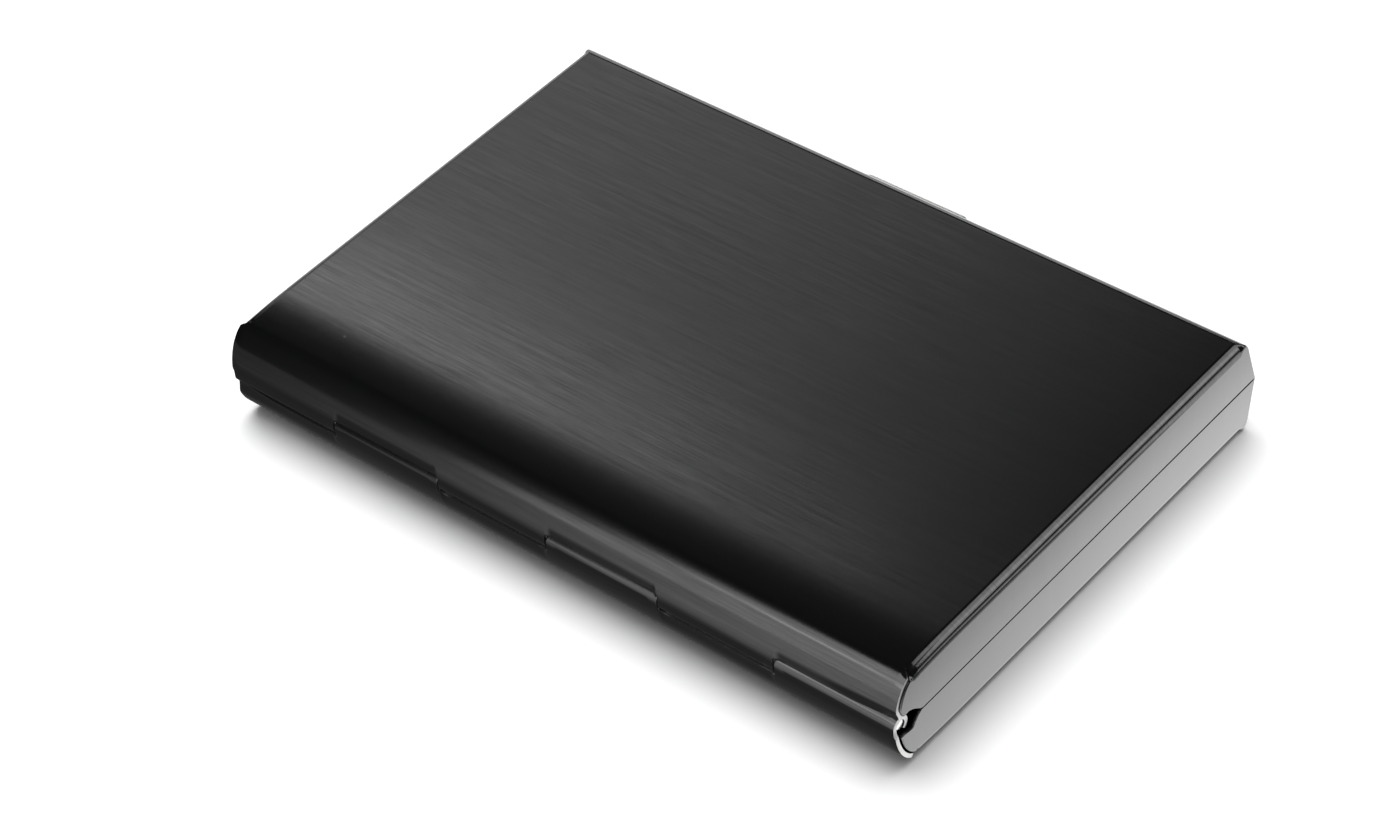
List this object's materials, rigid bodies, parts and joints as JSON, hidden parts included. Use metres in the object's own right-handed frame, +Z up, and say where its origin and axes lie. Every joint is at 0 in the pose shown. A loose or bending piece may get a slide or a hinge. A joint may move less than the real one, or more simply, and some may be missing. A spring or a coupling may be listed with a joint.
{
  "type": "hinged metal card wallet",
  "caption": "Slim hinged case of black brushed sheet metal with a sprung thumb button, and an accordion of thin panels inside that fans out to hold bank cards.",
  "frame": {"origin": "bottom centre of the closed case's bounding box, thumb button included", "axes": "+X along the hinge, -Y the hinge side, +Y the opening side with the thumb button, +Z up"},
  "size_m": [0.096, 0.067, 0.013],
  "materials": {
    "black_brushed_steel": "black plated, brushed along the hinge",
    "bright_steel": "bright drawn wire",
    "silver_brushed_steel": "light satin",
    "spring_steel": "plain rolled",
    "black_plastic": "fine grained sheet",
    "web_film": "soft folded film"
  },
  "bodies": {
    "lower_case": {"lower_shell": "black_brushed_steel", "hinge_pin": "bright_steel", "latch_bracket": "spring_steel", "latch_spring": "spring_steel", "pocket_panel_1": "black_plastic", "pocket_web_1": "web_film"},
    "lid": {"upper_shell": "black_brushed_steel", "striker_plate": "spring_steel"},
    "thumb_latch": {"thumb_button": "silver_brushed_steel", "latch_plate": "spring_steel", "button_rivet_left": "bright_steel", "button_rivet_right": "bright_steel"},
    "panel_2": {"pocket_panel_2": "black_plastic", "pocket_web_2": "web_film"},
    "panel_3": {"pocket_panel_3": "black_plastic", "pocket_web_3": "web_film"},
    "panel_4": {"pocket_panel_4": "black_plastic", "pocket_web_4": "web_film"},
    "panel_5": {"pocket_panel_5": "black_plastic", "pocket_web_5": "web_film"},
    "panel_6": {"pocket_panel_6": "black_plastic", "pocket_web_6": "web_film"},
    "panel_7": {"pocket_panel_7": "black_plastic"}
  },
  "joints": [
    {"name": "lid_hinge", "type": "hinge", "parent": "lower_case", "child": "lid", "pos_m": [0, -0.0323, 0.0065], "axis": [1, 0, 0], "range_deg": [0, 60], "deforming": ["pocket_web_1", "pocket_web_2", "pocket_web_3", "pocket_web_4", "pocket_web_5", "pocket_web_6"]},
    {"name": "button_press", "type": "slide", "parent": "lower_case", "child": "thumb_latch", "axis": [0, -1, 0], "range_m": [0, 0.001], "stiffness_N_per_m": 400, "springref_m": -0.001, "deforming": ["latch_spring"]},
    {"name": "panel_2_fan", "type": "hinge", "parent": "lower_case", "child": "panel_2", "pos_m": [0, -0.0323, 0.0065], "axis": [1, 0, 0], "range_deg": [0, 10]},
    {"name": "panel_3_fan", "type": "hinge", "parent": "panel_2", "child": "panel_3", "pos_m": [0, -0.0323, 0.0065], "axis": [1, 0, 0], "range_deg": [0, 10]},
    {"name": "panel_4_fan", "type": "hinge", "parent": "panel_3", "child": "panel_4", "pos_m": [0, -0.0323, 0.0065], "axis": [1, 0, 0], "range_deg": [0, 10]},
    {"name": "panel_5_fan", "type": "hinge", "parent": "panel_4", "child": "panel_5", "pos_m": [0, -0.0323, 0.0065], "axis": [1, 0, 0], "range_deg": [0, 10]},
    {"name": "panel_6_fan", "type": "hinge", "parent": "panel_5", "child": "panel_6", "pos_m": [0, -0.0323, 0.0065], "axis": [1, 0, 0], "range_deg": [0, 10]},
    {"name": "panel_7_fan", "type": "hinge", "parent": "panel_6", "child": "panel_7", "pos_m": [0, -0.0323, 0.0065], "axis": [1, 0, 0], "range_deg": [0, 10]}
  ],
  "couplings": [
    {"joint": "panel_2_fan", "follows": "lid_hinge", "ratio": 0.16667},
    {"joint": "panel_3_fan", "follows": "lid_hinge", "ratio": 0.16667},
    {"joint": "panel_4_fan", "follows": "lid_hinge", "ratio": 0.16667},
    {"joint": "panel_5_fan", "follows": "lid_hinge", "ratio": 0.16667},
    {"joint": "panel_6_fan", "follows": "lid_hinge", "ratio": 0.16667},
    {"joint": "panel_7_fan", "follows": "lid_hinge", "ratio": 0.16667}
  ]
}
